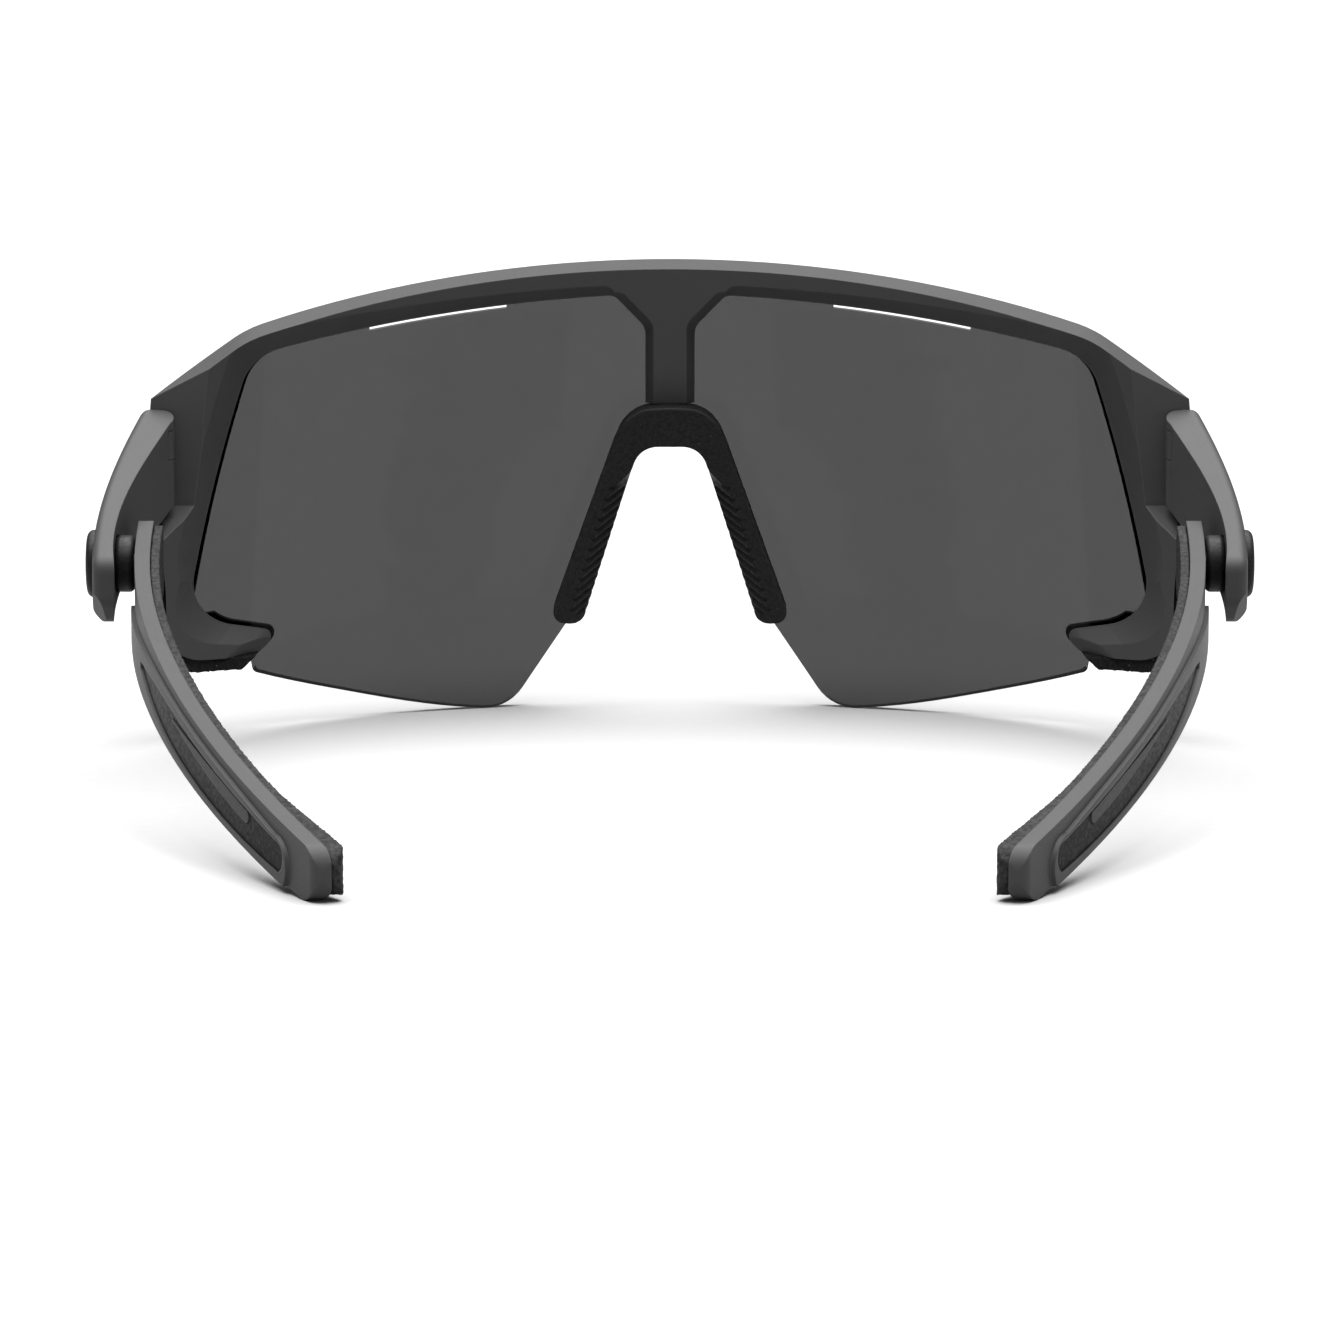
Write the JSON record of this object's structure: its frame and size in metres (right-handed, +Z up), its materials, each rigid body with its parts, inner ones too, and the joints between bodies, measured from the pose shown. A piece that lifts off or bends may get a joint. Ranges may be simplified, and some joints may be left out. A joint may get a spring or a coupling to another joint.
{
  "type": "wraparound sport sunglasses",
  "caption": "Wraparound sport sunglasses with one shield lens, rubber nose saddle, folding front arms and friction-tilting rubber-lined temples.",
  "frame": {"origin": "under the middle of the whole object's box, on the plane that the lens lobes and the temple tips stand on", "axes": "+Z up, +Y the way the wearer looks (lens side), +X the wearer's right; temples open and level at rest"},
  "size_m": [0.1516, 0.1514, 0.0616],
  "materials": {
    "frame_plastic": "fine matt moulded nylon, dark grey",
    "tinted_lens": "polished grey polycarbonate, evenly tinted",
    "soft_rubber": "matt black rubber, lightly grained",
    "temple_rubber": "black rubber with a fine toothed grip",
    "grip_rubber": "smooth black rubber",
    "inlay_plastic": "grey plastic, smooth in front and stippled behind",
    "cap_rubber": "satin black cap",
    "core_plastic": "plain moulded nylon",
    "steel": "turned",
    "brass": "turned"
  },
  "bodies": {
    "front": {"front_frame": "frame_plastic", "lens": "tinted_lens", "nose_pad": "soft_rubber", "nose_core": "core_plastic", "rim_guard_left": "soft_rubber", "hinge_pin_left": "steel", "rim_guard_right": "soft_rubber", "hinge_pin_right": "steel"},
    "arm_left": {"arm_left": "frame_plastic", "pivot_cap_left": "cap_rubber", "pivot_bush_left": "soft_rubber"},
    "temple_left": {"temple_left": "frame_plastic", "temple_pad_left": "temple_rubber", "temple_grip_left": "grip_rubber", "temple_inlay_left": "inlay_plastic", "pivot_nut_left": "brass", "pivot_screw_left": "steel"},
    "arm_right": {"arm_right": "frame_plastic", "pivot_cap_right": "cap_rubber", "pivot_bush_right": "soft_rubber"},
    "temple_right": {"temple_right": "frame_plastic", "temple_pad_right": "temple_rubber", "temple_grip_right": "grip_rubber", "temple_inlay_right": "inlay_plastic", "pivot_nut_right": "brass", "pivot_screw_right": "steel"}
  },
  "joints": [
    {"name": "fold_left", "type": "hinge", "parent": "front", "child": "arm_left", "pos_m": [-0.0678, 0.03924, 0.04], "axis": [0, 0, 1], "range_deg": [0, 66]},
    {"name": "fold_right", "type": "hinge", "parent": "front", "child": "arm_right", "pos_m": [0.0678, 0.03924, 0.04], "axis": [0, 0, -1], "range_deg": [0, 80]},
    {"name": "tilt_left", "type": "hinge", "parent": "arm_left", "child": "temple_left", "pos_m": [-0.07, 0.01784, 0.027], "axis": [1, 0, 0], "range_deg": [-10, 10]},
    {"name": "tilt_right", "type": "hinge", "parent": "arm_right", "child": "temple_right", "pos_m": [0.07, 0.01784, 0.027], "axis": [1, 0, 0], "range_deg": [-10, 10]}
  ]
}
